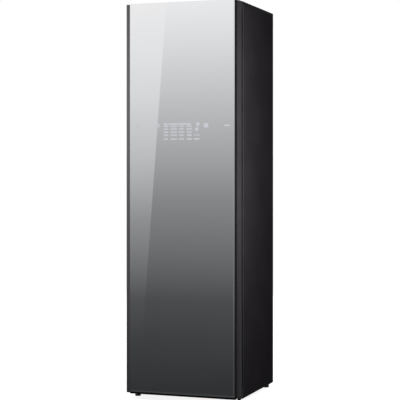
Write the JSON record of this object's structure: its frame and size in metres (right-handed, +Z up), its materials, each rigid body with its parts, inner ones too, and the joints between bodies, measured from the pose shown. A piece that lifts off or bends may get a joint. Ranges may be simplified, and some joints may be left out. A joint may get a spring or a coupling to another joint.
{
  "type": "clothes care steam cabinet",
  "caption": "Tall clothes care steam cabinet: full-height mirror door with a trouser press, swaying hanger rail, wire shelf, water tanks and a heat pump in the plinth.",
  "frame": {"origin": "on the floor, under the middle of the cabinet's bounding box", "axes": "+Z up, the mirror door faces -Y, +X is the side of the door's hinges"},
  "size_m": [0.58, 0.615, 1.96],
  "materials": {
    "cabinet_steel": "satin dark grey paint",
    "cover_plastic": "fine grained dark plastic",
    "galvanised_sheet": "zinc coated sheet",
    "black_rubber": "matt black",
    "zinc_screw": "zinc plated",
    "liner_plastic": "light grey, softly glossy",
    "foam": "closed-cell foam",
    "light_diffuser": "opal diffuser",
    "tray_plastic": "grey",
    "nozzle_plastic": "dark grey",
    "wire_steel": "polished wire",
    "filter_plastic": "blue grey",
    "ground_steel": "ground",
    "cast_aluminium": "as cast",
    "brushed_rail": "brushed",
    "motor_black": "black",
    "bay_plastic": "charcoal",
    "tank_smoke": "smoke-clear moulded plastic",
    "lid_plastic": "charcoal",
    "duct_plastic": "dark grey",
    "coil_aluminium": "bare",
    "wheel_plastic": "black",
    "compressor_black": "black paint",
    "copper_pipe": "copper",
    "hose_rubber": "silicone hose",
    "pump_plastic": "natural",
    "board_green": "circuit board",
    "mirror_glass": "tinted mirror glass",
    "trim_black": "black",
    "door_steel": "dark metallic paint",
    "grip_aluminium": "anodised grey",
    "gasket_grey": "soft grey",
    "hinge_steel": "dark grey",
    "bush_plastic": "natural acetal",
    "press_pad": "firm grey moulded board",
    "press_plastic": "light grey"
  },
  "bodies": {
    "cabinet": {"side_panel_left": "cabinet_steel", "side_panel_right": "cabinet_steel", "top_cover": "cover_plastic", "back_panel": "galvanised_sheet", "rear_service_cover": "galvanised_sheet", "base_frame": "galvanised_sheet", "rear_feet": "black_rubber", "rear_screws": "zinc_screw", "cord_gland": "black_rubber", "chamber_liner": "liner_plastic", "insulation": "foam", "chamber_lights": "light_diffuser", "floor_tray": "tray_plastic", "steam_nozzle": "nozzle_plastic", "air_outlet_grille": "nozzle_plastic", "drive_base": "galvanised_sheet", "guide_rods": "ground_steel", "motor_bridge": "galvanised_sheet", "drive_motor": "motor_black", "tank_bay": "bay_plastic", "heat_pump_duct": "duct_plastic", "evaporator": "coil_aluminium", "condenser": "coil_aluminium", "blower_housing": "duct_plastic", "blower_motor": "motor_black", "air_riser": "duct_plastic", "compressor": "compressor_black", "compressor_mounts": "black_rubber", "refrigerant_pipes": "copper_pipe", "steam_generator": "cast_aluminium", "steam_pipe": "hose_rubber", "pumps": "pump_plastic", "control_board": "board_green", "upper_hinge": "hinge_steel", "lower_hinge": "hinge_steel"},
    "door": {"door_glass": "mirror_glass", "door_edge_trim": "trim_black", "door_frame": "door_steel", "door_grip": "grip_aluminium", "door_liner": "liner_plastic", "door_insulation": "foam", "display_module": "trim_black", "door_gasket": "gasket_grey", "hinge_bushes": "bush_plastic", "press_board": "press_pad", "press_hinge": "nozzle_plastic"},
    "press_cover": {"press_cover": "press_plastic"},
    "trouser_clamp": {"trouser_clamp": "nozzle_plastic"},
    "rail": {"rail_carriage": "cast_aluminium", "hanger_rail": "brushed_rail"},
    "crank": {"crank_disc": "ground_steel"},
    "water_tank": {"water_tank": "tank_smoke", "water_tank_lid": "lid_plastic"},
    "drain_tank": {"drain_tank": "tank_smoke", "drain_tank_lid": "lid_plastic"},
    "lint_filter": {"lint_filter": "filter_plastic"},
    "shelf_rack": {"shelf_rack": "wire_steel"},
    "blower_wheel": {"blower_wheel": "wheel_plastic"},
    "foot_left": {"foot_left": "black_rubber"},
    "foot_right": {"foot_right": "black_rubber"}
  },
  "joints": [
    {"name": "door_swing", "type": "hinge", "parent": "cabinet", "child": "door", "pos_m": [0.275, -0.24, 0.031], "axis": [0, 0, 1], "range_deg": [0, 110]},
    {"name": "press_cover_swing", "type": "hinge", "parent": "door", "child": "press_cover", "pos_m": [-0.196, -0.168, 1.02], "axis": [0, 0, 1], "range_deg": [0, 90]},
    {"name": "trouser_clamp_tilt", "type": "hinge", "parent": "door", "child": "trouser_clamp", "pos_m": [0, -0.171, 1.472], "axis": [1, 0, 0], "range_deg": [0, 45]},
    {"name": "rail_sway", "type": "slide", "parent": "cabinet", "child": "rail", "axis": [1, 0, 0], "range_m": [-0.0106, 0.0106]},
    {"name": "crank_turn", "type": "hinge", "parent": "cabinet", "child": "crank", "pos_m": [0, 0.0245, 1.8695], "axis": [0, 0, 1], "range_deg": [-60, 60]},
    {"name": "water_tank_pull", "type": "slide", "parent": "cabinet", "child": "water_tank", "axis": [0, -1, 0], "range_m": [0, 0.04]},
    {"name": "drain_tank_pull", "type": "slide", "parent": "cabinet", "child": "drain_tank", "axis": [0, -1, 0], "range_m": [0, 0.04]},
    {"name": "lint_filter_lift", "type": "slide", "parent": "cabinet", "child": "lint_filter", "axis": [0, 0, 1], "range_m": [0, 0.07]},
    {"name": "shelf_rack_lift", "type": "slide", "parent": "cabinet", "child": "shelf_rack", "axis": [0, 0, 1], "range_m": [0, 0.04]},
    {"name": "blower_spin", "type": "hinge", "parent": "cabinet", "child": "blower_wheel", "pos_m": [0, 0.2513, 0.165], "axis": [0, 1, 0], "continuous": true},
    {"name": "foot_left_turn", "type": "hinge", "parent": "cabinet", "child": "foot_left", "pos_m": [-0.269, -0.1895, 0], "axis": [0, 0, 1], "continuous": true},
    {"name": "foot_right_turn", "type": "hinge", "parent": "cabinet", "child": "foot_right", "pos_m": [0.269, -0.1895, 0], "axis": [0, 0, 1], "continuous": true}
  ],
  "couplings": [
    {"joint": "crank_turn", "follows": "rail_sway", "rad_per_m": 98.7}
  ]
}
